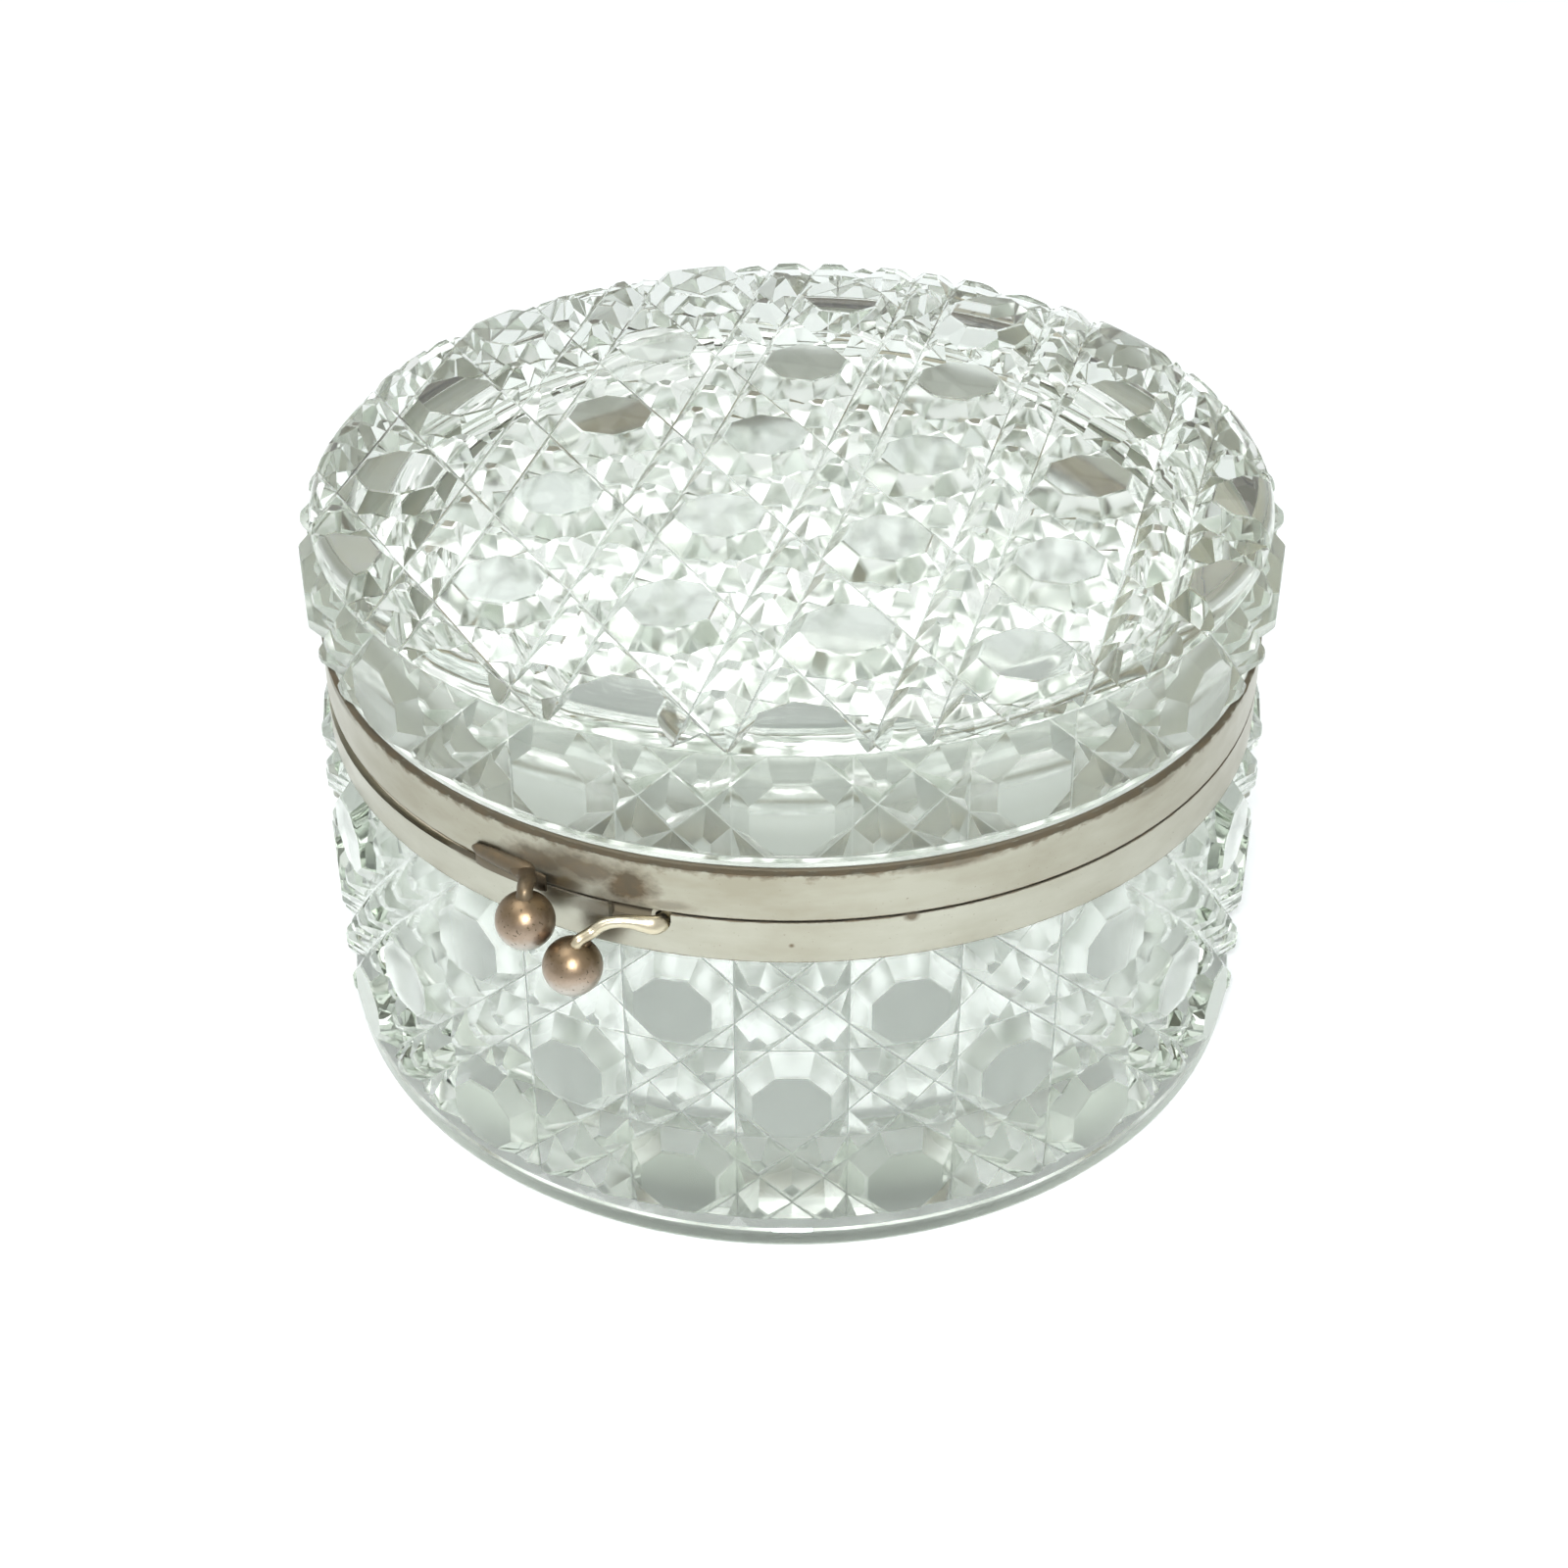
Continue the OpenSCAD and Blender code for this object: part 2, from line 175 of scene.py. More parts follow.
def sideRow(low, high, start):
    # faces of one row of cells, as (x, y, z) corners
    width = 2 * math.pi * cut["faceRadius"] / cut["cells"]
    faces = []
    for isButton in (True, False):
        pattern = []
        for region in cellRegions(isButton):
            poly = [(x * width, y * width) for x, y in region]
            isFace = isButton and len(region) == 8
            for corners in roof(poly, cut["depth"], cut["slope"]):
                flat = []
                for x, y, h in corners:
                    turn = x / cut["faceRadius"]
                    radius = cut["faceRadius"] + h
                    if isFace and h > -1e-6:
                        radius /= math.cos(turn)    # keeps a button's face flat
                    flat.append((turn, (low + high) / 2 + y * (high - low) / width, radius))
                pattern.append(flat)
        for i in range(cut["cells"] // 2):
            middle = (start + 2 * i + (0 if isButton else 1)) * 2 * math.pi / cut["cells"]
            for flat in pattern:
                faces.append([(r * math.sin(middle + t), -r * math.cos(middle + t), z)
                              for t, z, r in flat])
    return faces


def rimPlanes(turn, spread):
    # flat strips that stand for the round-over, near one direction
    planes = []
    step = 2 * math.pi / cut["rimSides"]
    bend = cut["rimRound"]
    middle = cut["rimRadius"] - bend
    for k in range(math.floor((turn - spread) / step), math.ceil((turn + spread) / step) + 1):
        across, along = math.cos(k * step), math.sin(k * step)
        for s in range(8):
            tip = math.radians(8 + 10.5 * s)
            lift = -bend + (bend + middle * math.sin(tip)) / math.cos(tip)
            planes.append((-math.tan(tip) * across, -math.tan(tip) * along, lift))
    return planes


def lidTop():
    # faces of the lid's top, as (x, y, z) corners
    pitch, stop = cut["topPitch"], cut["rimStop"]
    turn = math.radians(cut["topTurn"])
    cosT, sinT = math.cos(turn), math.sin(turn)
    step = 2 * math.pi / cut["rimSides"]
    faces = []
    for i in range(-7, 8):
        for j in range(-7, 8):
            cx = cut["topButton"][0] + (i * cosT - j * sinT) * pitch
            cy = cut["topButton"][1] + (i * sinT + j * cosT) * pitch
            if math.hypot(cx, cy) > stop + pitch:
                continue
            for region in cellRegions((i + j) % 2 == 0):
                poly = [(cx + (x * cosT - y * sinT) * pitch, cy + (x * sinT + y * cosT) * pitch)
                        for x, y in region]
                far = max(math.hypot(x, y) for x, y in poly)
                extra, limits = [], []
                if far > cut["rimRadius"] - cut["rimRound"] - 0.5:
                    mx = sum(p[0] for p in poly) / len(poly)
                    my = sum(p[1] for p in poly) / len(poly)
                    size = max(math.hypot(p[0] - mx, p[1] - my) for p in poly)
                    towards, spread = math.atan2(my, mx), size / 50 + 0.06
                    extra = rimPlanes(towards, spread)
                    limits = [(-math.cos(k * step), -math.sin(k * step), stop)
                              for k in range(math.floor((towards - spread) / step),
                                             math.ceil((towards + spread) / step) + 1)]
                for corners in roof(poly, cut["topDepth"], cut["slope"], extra, limits):
                    faces.append([(x, y, z + cut["top"]) for x, y, z in corners])
    return faces


def addFaces(mesh, faces):
    for corners in faces:
        mesh.faces.new([mesh.verts.new(Vector(p) * mm) for p in corners])


def turnOf(point):
    return math.atan2(point[0], -point[1]) % (2 * math.pi)


def openRings(mesh):
    # the open edges of a sheet, as rings of corners sorted round the axis
    edges = {e for e in mesh.edges if len(e.link_faces) == 1}
    rings = []
    while edges:
        first = edges.pop()
        ring = [first.verts[0], first.verts[1]]
        while True:
            onward = [e for e in ring[-1].link_edges if e in edges]
            if not onward:
                break
            edges.discard(onward[0])
            ring.append(onward[0].other_vert(ring[-1]))
        ring = list(dict.fromkeys(ring))
        rings.append(sorted(ring, key=lambda v: turnOf(v.co)))
    return sorted(rings, key=lambda r: sum(v.co.z for v in r) / len(r))


def zipper(mesh, low, high):
    # closes the gap between two rings of corners
    full = 2 * math.pi
    turns = [[turnOf(v.co) for v in ring] for ring in (low, high)]
    for ring in turns:
        ring.append(ring[0] + full)
    i = j = 0
    while i < len(low) or j < len(high):
        a, b = low[i % len(low)], high[j % len(high)]
        if j == len(high) or (i < len(low) and turns[0][i + 1] <= turns[1][j + 1]):
            i += 1
            mesh.faces.new((a, low[i % len(low)], b))
        else:
            j += 1
            mesh.faces.new((a, high[j % len(high)], b))


def ringOf(mesh, radius, height, count):
    return [mesh.verts.new(Vector((radius * math.sin(2 * math.pi * k / count),
                                   -radius * math.cos(2 * math.pi * k / count), height)) * mm)
            for k in range(count)]


def turned(mesh, profile, count, start=None, cap=False):
    # a turned surface through (radius, height) points, carried on from an open ring
    last = start
    for radius, height in profile:
        ring = ringOf(mesh, radius, height, count)
        if last is not None:
            if len(last) == len(ring) and last is not start:
                for k in range(count):
                    n = (k + 1) % count
                    mesh.faces.new((last[k], last[n], ring[n], ring[k]))
            else:
                zipper(mesh, last, ring)
        last = ring
    if cap:
        mesh.faces.new(last)


def arc(radius, height, bend, first, last, steps):
    # (radius, height) points of a fillet with its centre at radius, height
    out = []
    for k in range(steps + 1):
        a = math.radians(first + (last - first) * k / steps)
        out.append((radius + bend * math.cos(a), height + bend * math.sin(a)))
    return out


def finishMesh(mesh, name, sharp, material):
    bmesh.ops.remove_doubles(mesh, verts=mesh.verts, dist=weld)
    bmesh.ops.dissolve_degenerate(mesh, edges=mesh.edges, dist=speck)
    bmesh.ops.recalc_face_normals(mesh, faces=mesh.faces)
    if mesh.calc_volume(signed=True) < 0:
        bmesh.ops.reverse_faces(mesh, faces=mesh.faces)
    for face in mesh.faces:
        face.smooth = True
    for edge in mesh.edges:
        edge.smooth = edge.calc_face_angle(0) < math.radians(sharp)
    loose = [e for e in mesh.edges if len(e.link_faces) != 2]
    print("%s: %d faces, %d open edges" % (name, len(mesh.faces), len(loose)))
    data = bpy.data.meshes.new(name)
    mesh.to_mesh(data)
    mesh.free()
    piece = bpy.data.objects.new(name, data)
    bpy.context.scene.collection.objects.link(piece)
    data.materials.append(material)
    return piece


def nodesOf(name):
    material = bpy.data.materials.new(name)
    material.use_nodes = True
    tree = material.node_tree
    tree.nodes.clear()
    return material, tree


def put(tree, kind, inputs=None, **settings):
    # one shader node; a tuple (node, socket) in inputs makes a link
    node = tree.nodes.new(kind)
    for key, value in settings.items():
        setattr(node, key, value)
    for key, value in (inputs or {}).items():
        socket = node.inputs[key]
        if isinstance(value, tuple) and len(value) == 2 and hasattr(value[0], "outputs"):
            tree.links.new(value[0].outputs[value[1]], socket)
        else:
            socket.default_value = value
    return node


def ramp(tree, source, stops):
    node = put(tree, "ShaderNodeValToRGB", {"Fac": source})
    bar = node.color_ramp
    while len(bar.elements) < len(stops):
        bar.elements.new(0.5)
    for element, (place, tone) in zip(bar.elements, stops):
        element.position = place
        element.color = (*tone, 1) if isinstance(tone, (tuple, list)) else (tone, tone, tone, 1)
    return node


def maths(tree, kind, *values, clamp=False):
    node = tree.nodes.new("ShaderNodeMath")
    node.operation = kind
    node.use_clamp = clamp
    for k, value in enumerate(values):
        if isinstance(value, tuple):
            tree.links.new(value[0].outputs[value[1]], node.inputs[k])
        else:
            node.inputs[k].default_value = value
    return (node, "Value")


def blendColours(tree, amount, first, second):
    node = tree.nodes.new("ShaderNodeMix")
    node.data_type = "RGBA"
    # 0, 6 and 7 are the share and the two colours, 2 is the mixed colour
    for key, value in ((0, amount), (6, first), (7, second)):
        if isinstance(value, tuple) and len(value) == 2:
            tree.links.new(value[0].outputs[value[1]], node.inputs[key])
        elif key == 0:
            node.inputs[key].default_value = value
        else:
            node.inputs[key].default_value = (*value, 1)
    return (node, 2)


glass = {
    "tint": (0.965, 0.985, 0.965),
    "ior": 1.52,
    "body": (0.80, 0.88, 0.76),     # what the thickness takes out
    "bodyDensity": 9.0,
    "waviness": 0.05,
    "insideRough": 0.24,            # the moulded hollow is less polished than the cuts
    "ceilingRough": 0.085, "lidSideRough": 0.14, "lidWallRough": 0.24,
    "insideRadius": 0.0502, "insideLow": 0.005, "insideHigh": 0.0600, "ceilingHigh": 0.066,
    "bondLow": 0.0431, "bondHigh": 0.0553,      # where the necks sit in cement
    "sideRadius": 0.0565, "sideHigh": 0.0706,
    "paintedBondVeil": (0.25, 0.275, 0.24), "paintedBondVeilShare": 0.3,      # painted grey veil on the lid's side, standing in for the cement seen through its facets
    "bond": (0.98, 0.99, 0.92),
    "bondStain": (0.84, 0.80, 0.64),
    "darkBrown": (0.19, 0.165, 0.115),              # painted shade of the deep slot behind the latch wire
    "slotShadeAt": (0.0079, -0.0551, 0.0472), "slotShadeReach": (0.006, 0.009),
    "bondTop": (0.70, 0.72, 0.62), "bondTopFrom": 0.0528, "bondTopTo": 0.0550,
}


def between(tree, value, low, high):
    return maths(tree, "MULTIPLY", maths(tree, "GREATER_THAN", value, low),
                 maths(tree, "LESS_THAN", value, high))


def cutGlass():
    material, tree = nodesOf("cutGlass")
    place = put(tree, "ShaderNodeTexCoord")
    parts = put(tree, "ShaderNodeSeparateXYZ", {"Vector": (place, "Object")})
    flat = put(tree, "ShaderNodeCombineXYZ", {"X": (parts, "X"), "Y": (parts, "Y")})
    away = (put(tree, "ShaderNodeVectorMath", {0: (flat, "Vector")}, operation="LENGTH"), "Value")
    within = maths(tree, "LESS_THAN", away, glass["insideRadius"])
    wall = between(tree, (parts, "Z"), glass["insideLow"], glass["insideHigh"])
    ceiling = between(tree, (parts, "Z"), glass["insideHigh"], glass["ceilingHigh"])
    dull = maths(tree, "MULTIPLY_ADD", wall, glass["insideRough"],
                 maths(tree, "MULTIPLY", ceiling, glass["ceilingRough"]))
    lidWall = between(tree, (parts, "Z"), lidLow[2] * mm, glass["insideHigh"])
    dull = maths(tree, "MULTIPLY_ADD", lidWall, glass["lidWallRough"], dull)
    film = put(tree, "ShaderNodeTexNoise", {"Vector": (place, "Object"), "Scale": 260.0,
                                            "Detail": 4.0})
    polish = ramp(tree, (film, "Fac"), [(0.5, 0.0), (0.8, 0.03)])
    lidSide = maths(tree, "MULTIPLY", maths(tree, "GREATER_THAN", away, glass["sideRadius"]),
                    between(tree, (parts, "Z"), glass["bondHigh"], glass["sideHigh"]))
    polish = maths(tree, "MULTIPLY_ADD", lidSide, glass["lidSideRough"], (polish, "Color"))
    rough = maths(tree, "MULTIPLY_ADD", within, dull, polish)
    wave = put(tree, "ShaderNodeTexNoise", {"Vector": (place, "Object"), "Scale": 120.0,
                                            "Detail": 1.0})
    bump = put(tree, "ShaderNodeBump", {"Strength": glass["waviness"], "Distance": 0.001,
                                        "Height": (wave, "Fac")})
    shader = put(tree, "ShaderNodeBsdfPrincipled", {
        "Base Color": (*glass["tint"], 1), "Roughness": rough, "IOR": glass["ior"],
        "Transmission Weight": 1.0, "Normal": (bump, "Normal")})
    # painted veil: a grey diffuse layer over the outside of the lid's side, standing in for the
    # cement seen through the facets
    paintedBondVeil = put(tree, "ShaderNodeBsdfDiffuse", {"Color": (*glass["paintedBondVeil"], 1)})
    side = put(tree, "ShaderNodeNewGeometry")
    outside = maths(tree, "SUBTRACT", 1.0, (side, "Backfacing"))
    share = maths(tree, "MULTIPLY", outside, maths(tree, "MULTIPLY", lidSide, glass["paintedBondVeilShare"]))
    shader = put(tree, "ShaderNodeMixShader", {0: share, 1: (shader, "BSDF"), 2: (paintedBondVeil, "BSDF")})
    grit = put(tree, "ShaderNodeTexNoise", {"Vector": (place, "Object"), "Scale": 70.0,
                                            "Detail": 3.0})
    tone = ramp(tree, (grit, "Fac"), [(0.45, glass["bond"]), (0.8, glass["bondStain"])])
    under = put(tree, "ShaderNodeMapRange", {"Value": (parts, "Z"),
                                             "From Min": glass["bondTopFrom"],
                                             "From Max": glass["bondTopTo"]})
    tone = blendColours(tree, (under, "Result"), (tone, "Color"), glass["bondTop"])
    # painted shade: darkens the cement seen through the deep slot behind the latch wire
    near = put(tree, "ShaderNodeVectorMath", {0: (place, "Object"), 1: glass["slotShadeAt"]},
               operation="DISTANCE")
    full, none = glass["slotShadeReach"]
    near = put(tree, "ShaderNodeMapRange", {"Value": (near, "Value"), "From Min": full,
                                            "From Max": none, "To Min": 1.0, "To Max": 0.0})
    tone = blendColours(tree, (near, "Result"), tone, glass["darkBrown"])
    bond = put(tree, "ShaderNodeBsdfDiffuse", {"Color": tone})
    outer = maths(tree, "GREATER_THAN", away, glass["insideRadius"])
    bonded = maths(tree, "MULTIPLY", outer,
                   between(tree, (parts, "Z"), glass["bondLow"], glass["bondHigh"]))
    both = put(tree, "ShaderNodeMixShader", {0: bonded, 1: (shader, "Shader"), 2: (bond, "BSDF")})
    depth = put(tree, "ShaderNodeVolumeAbsorption", {"Color": (*glass["body"], 1),
                                                     "Density": glass["bodyDensity"]})
    put(tree, "ShaderNodeOutputMaterial", {"Surface": (both, "Shader"),
                                           "Volume": (depth, "Volume")})
    return material


glassFinish = cutGlass()

jarShape = {
    "rowLow": 3.3, "rowHigh": jarHigh[2] - 4.85, "rows": 3,
    "footRadius": collarRadius + 0.6,
    "bandRadius": collarRadius - 0.5,
    "neck": collarRadius - 2.86,
    "rim": jarHigh[2] - 0.04,
    "hollow": collarRadius - 8.4,
    "floor": 9.0,
    "insideRound": 5.0,
}
lidShape = {
    "rowLow": 57.0, "rowHigh": 70.35,
    "rimEdge": 70.85,
    "shoulder": 55.65,
    "bandRadius": collarRadius - 0.45,
    "rim": lidLow[2] + 0.04,
    "ceiling": lidHigh[2] - 10.7,
}
roundCount = 192


def jarGlass():
    shape = jarShape
    mesh = bmesh.new()
    tall = (shape["rowHigh"] - shape["rowLow"]) / shape["rows"]
    for row in range(shape["rows"]):
        low = shape["rowLow"] + row * tall
        addFaces(mesh, sideRow(low, low + tall, 0 if row % 2 else 1))
    bmesh.ops.remove_doubles(mesh, verts=mesh.verts, dist=weld)
    bottom, top = openRings(mesh)
    foot, band, neck = shape["footRadius"], shape["bandRadius"], shape["neck"]
    low = shape["rowHigh"]
    turned(mesh, [(band, low + 0.08), (neck + 0.5, low + 0.14), (neck + 0.1, low + 0.5),
                  (neck, shape["rim"] - 0.4), (neck - 0.4, shape["rim"]),
                  (shape["hollow"] + 0.5, shape["rim"]), (shape["hollow"], shape["rim"] - 0.6)]
           + arc(shape["hollow"] - shape["insideRound"], shape["floor"] + shape["insideRound"],
                 shape["insideRound"], 0, -90, 8)
           + [(shape["hollow"] * 0.55, shape["floor"]), (1.0, shape["floor"])],
           roundCount, top, cap=True)
    turned(mesh, [(foot - 0.35, 2.75), (foot - 0.08, 2.5), (foot, 2.2), (foot, 1.0)]
           + arc(foot - 0.8, 0.8, 0.8, -10, -80, 4)
           + [(foot - 1.2, 0.0), (foot - 6.5, 0.0), (foot - 8.0, 0.35), (20.0, 0.35), (1.0, 0.35)],
           roundCount, bottom, cap=True)
    return finishMesh(mesh, "cut_glass_jar", 14, glassFinish)


def lidGlass():
    shape = lidShape
    mesh = bmesh.new()
    addFaces(mesh, lidTop())
    bmesh.ops.remove_doubles(mesh, verts=mesh.verts, dist=weld)
    bmesh.ops.dissolve_degenerate(mesh, edges=mesh.edges, dist=speck)
    bmesh.ops.holes_fill(mesh, edges=[e for e in mesh.edges if len(e.link_faces) == 1], sides=8)
    addFaces(mesh, sideRow(shape["rowLow"], shape["rowHigh"], 0))
    rowVerts = [v for v in mesh.verts if v.co.z < (shape["rowHigh"] + 0.01) * mm]
    bmesh.ops.remove_doubles(mesh, verts=rowVerts, dist=weld)
    bottom, rowTop, topEdge = openRings(mesh)
    edge = ringOf(mesh, cut["rimRadius"], shape["rimEdge"], cut["rimSides"] * 2)
    zipper(mesh, edge, topEdge)
    zipper(mesh, rowTop, edge)
    neck, hollow = jarShape["neck"], jarShape["hollow"]
    turned(mesh, [(shape["bandRadius"], shape["rowLow"] - 0.35),
                  (shape["bandRadius"], shape["shoulder"] + 0.45),
                  (shape["bandRadius"] - 0.45, shape["shoulder"]),
                  (neck + 0.1, shape["shoulder"] - 0.05), (neck, shape["shoulder"] - 0.3),
                  (neck, shape["rim"] + 0.4), (neck - 0.4, shape["rim"]),
                  (hollow + 0.5, shape["rim"]), (hollow, shape["rim"] + 0.6)]
           + arc(hollow - jarShape["insideRound"], shape["ceiling"] - jarShape["insideRound"],
                 jarShape["insideRound"], 0, 90, 8)
           + [(hollow * 0.55, shape["ceiling"]), (1.0, shape["ceiling"])],
           roundCount, bottom, cap=True)
    return finishMesh(mesh, "cut_glass_lid", 14, glassFinish)


jar = jarGlass()
lid = lidGlass()
for piece, body, node in ((jar, "jar", "base_glass"), (lid, "lid", "lid_glass")):
    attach(piece, body)
    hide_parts(node)
print("glass made")


metal = {
    "silver": (0.45, 0.445, 0.375), "silverWorn": (0.37, 0.355, 0.285),
    "patina": (0.080, 0.064, 0.040),
    "rust": (0.110, 0.078, 0.042),
    "spots": 0.62,                  # lower makes more dark spots
}
# ball tones from bottom to top; the change with height is partly wear, partly painted reflection
balls = {"below": (0.52, 0.49, 0.44), "middle": (0.35, 0.275, 0.215), "top": (0.20, 0.145, 0.090)}
cement = {
    "clean": (0.84, 0.82, 0.72), "stained": (0.66, 0.58, 0.42),
    # paints the shade in the slot behind the latch wire, and the dark top crust
    "darkBrown": (0.13, 0.11, 0.075),
    "slotShadeAt": (8.0, 47.4, 9.5, 3.2),       # where the painted shade of the slot behind the latch wire sits: turn in degrees, height, reach along and up
    "crustFrom": 54.6, "crustTo": 55.0,     # heights where the dark top crust fades in
}


def aroundCoords(tree):
    # millimetres along the band and up it; a flat top counts on inwards
    place = put(tree, "ShaderNodeTexCoord")
    parts = put(tree, "ShaderNodeSeparateXYZ", {"Vector": (place, "Object")})
    turn = maths(tree, "ARCTAN2", (parts, "X"), maths(tree, "MULTIPLY", (parts, "Y"), -1.0))
    along = maths(tree, "MULTIPLY", turn, collarRadius)
    flat = put(tree, "ShaderNodeCombineXYZ", {"X": (parts, "X"), "Y": (parts, "Y")})
    away = put(tree, "ShaderNodeVectorMath", {0: (flat, "Vector")}, operation="LENGTH")
    inward = maths(tree, "SUBTRACT", collarRadius * mm, (away, "Value"))
    up = maths(tree, "MULTIPLY", maths(tree, "ADD", (parts, "Z"), inward), 1000.0)
    return along, up


def bandNoise(tree, along, up, scaleAlong, scaleUp, detail, seed=0.0):
    spot = put(tree, "ShaderNodeCombineXYZ", {"X": maths(tree, "MULTIPLY", along, scaleAlong),
                                              "Y": maths(tree, "MULTIPLY", up, scaleUp), "Z": seed})
    noisy = put(tree, "ShaderNodeTexNoise", {"Vector": (spot, "Vector"), "Scale": 1.0,
                                             "Detail": detail, "Roughness": 0.6})
    return (noisy, "Fac")


def stainAndShadeAt(tree, along, up, turn, height, reachAlong, reachUp, ragged, soft=0.6):
    # 1 in the middle of an oval, used for stains and for painted shade, fading to 0 with a ragged
    # outline
    u = maths(tree, "DIVIDE", maths(tree, "SUBTRACT", along, math.radians(turn) * collarRadius),
              reachAlong)
    v = maths(tree, "DIVIDE", maths(tree, "SUBTRACT", up, height), reachUp)
    away = maths(tree, "SQRT", maths(tree, "ADD", maths(tree, "MULTIPLY", u, u),
                                     maths(tree, "MULTIPLY", v, v)))
    away = maths(tree, "MULTIPLY_ADD", ragged, 0.9, maths(tree, "SUBTRACT", away, 0.45))
    fade = put(tree, "ShaderNodeMapRange", {"Value": away, "From Min": 1.0 - soft, "From Max": 1.0,
                                            "To Min": 1.0, "To Max": 0.0})
    return (fade, "Result")


def strongest(tree, *masks):
    out = masks[0]
    for mask in masks[1:]:
        out = maths(tree, "MAXIMUM", out, mask)
    return out


def agedMetal(name, light=None, worn=None, stainsAndShade=(), edges=(), roughness=(0.24, 0.42),
              cover=0.0):
    # silvered brass with brown patina: the ovals are stains and some painted shade and reflection,
    # edges are (height, reach) lines
    material, tree = nodesOf(name)
    along, up = aroundCoords(tree)
    ragged = bandNoise(tree, along, up, 0.55, 0.75, 6.0, 3.0)
    cloud = bandNoise(tree, along, up, 0.06, 0.16, 4.0, 1.0)
    fine = bandNoise(tree, along, up, 2.6, 3.1, 3.0, 7.0)
    streak = bandNoise(tree, along, up, 0.12, 9.0, 3.0, 5.0)
    base = ramp(tree, cloud, [(0.35, light or metal["silver"]),
                              (0.68, worn or metal["silverWorn"])])
    spots = ramp(tree, fine, [(metal["spots"] + 0.06, 0.0), (metal["spots"] + 0.10, 0.75)])
    masks = [(spots, "Color")]
    for *oval, strength in stainsAndShade:
        masks.append(maths(tree, "MULTIPLY", stainAndShadeAt(tree, along, up, *oval, ragged), strength))
    for height, reach in edges:
        off = maths(tree, "ABSOLUTE", maths(tree, "SUBTRACT", up, height))
        reachHere = maths(tree, "MULTIPLY_ADD", ragged, reach * 2.4, -reach * 0.6)
        off = maths(tree, "DIVIDE", off, reachHere)
        line = put(tree, "ShaderNodeMapRange", {"Value": off, "From Min": 0.5, "From Max": 1.3,
                                                "To Min": 0.9, "To Max": 0.0})
        masks.append((line, "Result"))
    if cover:
        hood = ramp(tree, ragged, [(0.35 - 0.3 * cover, 1.0), (0.75 - 0.2 * cover, 0.35)])
        masks.append((hood, "Color"))
    dark = strongest(tree, *masks)
    brown = ramp(tree, ragged, [(0.4, metal["patina"]), (0.65, metal["rust"])])
    colour = blendColours(tree, dark, (base, "Color"), (brown, "Color"))
    shine = maths(tree, "MULTIPLY_ADD", cloud, roughness[1] - roughness[0], roughness[0])
    rough = maths(tree, "MULTIPLY_ADD", dark, 0.28, shine, clamp=True)
    metallic = maths(tree, "SUBTRACT", 1.0, maths(tree, "MULTIPLY", dark, 0.55))
    relief = maths(tree, "MULTIPLY_ADD", streak, 0.35, maths(tree, "MULTIPLY", fine, 0.5))
    relief = maths(tree, "SUBTRACT", relief, maths(tree, "MULTIPLY", dark, 0.35))
    bump = put(tree, "ShaderNodeBump", {"Strength": 0.22, "Distance": 0.00012, "Height": relief})
    shader = put(tree, "ShaderNodeBsdfPrincipled", {
        "Base Color": colour, "Metallic": metallic, "Roughness": rough, "Normal": (bump, "Normal")})
    put(tree, "ShaderNodeOutputMaterial", {"Surface": (shader, "BSDF")})
    return material


def ballMetal(name, centre, radius):
    # bronze ball, grey below and copper brown round the top: partly wear, partly painted reflection
    # of the pale floor below and the dim room above
    material, tree = nodesOf(name)
    place = put(tree, "ShaderNodeTexCoord")
    parts = put(tree, "ShaderNodeSeparateXYZ", {"Vector": (place, "Object")})
    level = maths(tree, "SUBTRACT", (parts, "Z"), centre - radius)
    level = maths(tree, "DIVIDE", level, 2 * radius)
    mottle = put(tree, "ShaderNodeTexNoise", {"Vector": (place, "Object"), "Scale": 420.0,
                                              "Detail": 6.0, "Roughness": 0.65})
    pits = put(tree, "ShaderNodeTexNoise", {"Vector": (place, "Object"), "Scale": 2600.0,
                                            "Detail": 2.0})
    # the height term paints reflection, pale below and dark above, on top of the wear
    where = maths(tree, "MULTIPLY_ADD", (mottle, "Fac"), 0.5, maths(tree, "SUBTRACT", level, 0.25))
    base = ramp(tree, where, [(0.22, balls["below"]), (0.5, balls["middle"]),
                              (0.8, balls["top"])])
    specks = ramp(tree, (pits, "Fac"), [(0.63, 0.0), (0.70, 0.8)])
    colour = blendColours(tree, (specks, "Color"), (base, "Color"), metal["patina"])
    rough = maths(tree, "MULTIPLY_ADD", (mottle, "Fac"), 0.2, 0.28)
    bump = put(tree, "ShaderNodeBump", {"Strength": 0.12, "Distance": 0.00015,
                                        "Height": (pits, "Fac")})
    shader = put(tree, "ShaderNodeBsdfPrincipled", {
        "Base Color": colour, "Metallic": 1.0, "Roughness": rough, "Normal": (bump, "Normal")})
    put(tree, "ShaderNodeOutputMaterial", {"Surface": (shader, "BSDF")})
    return material


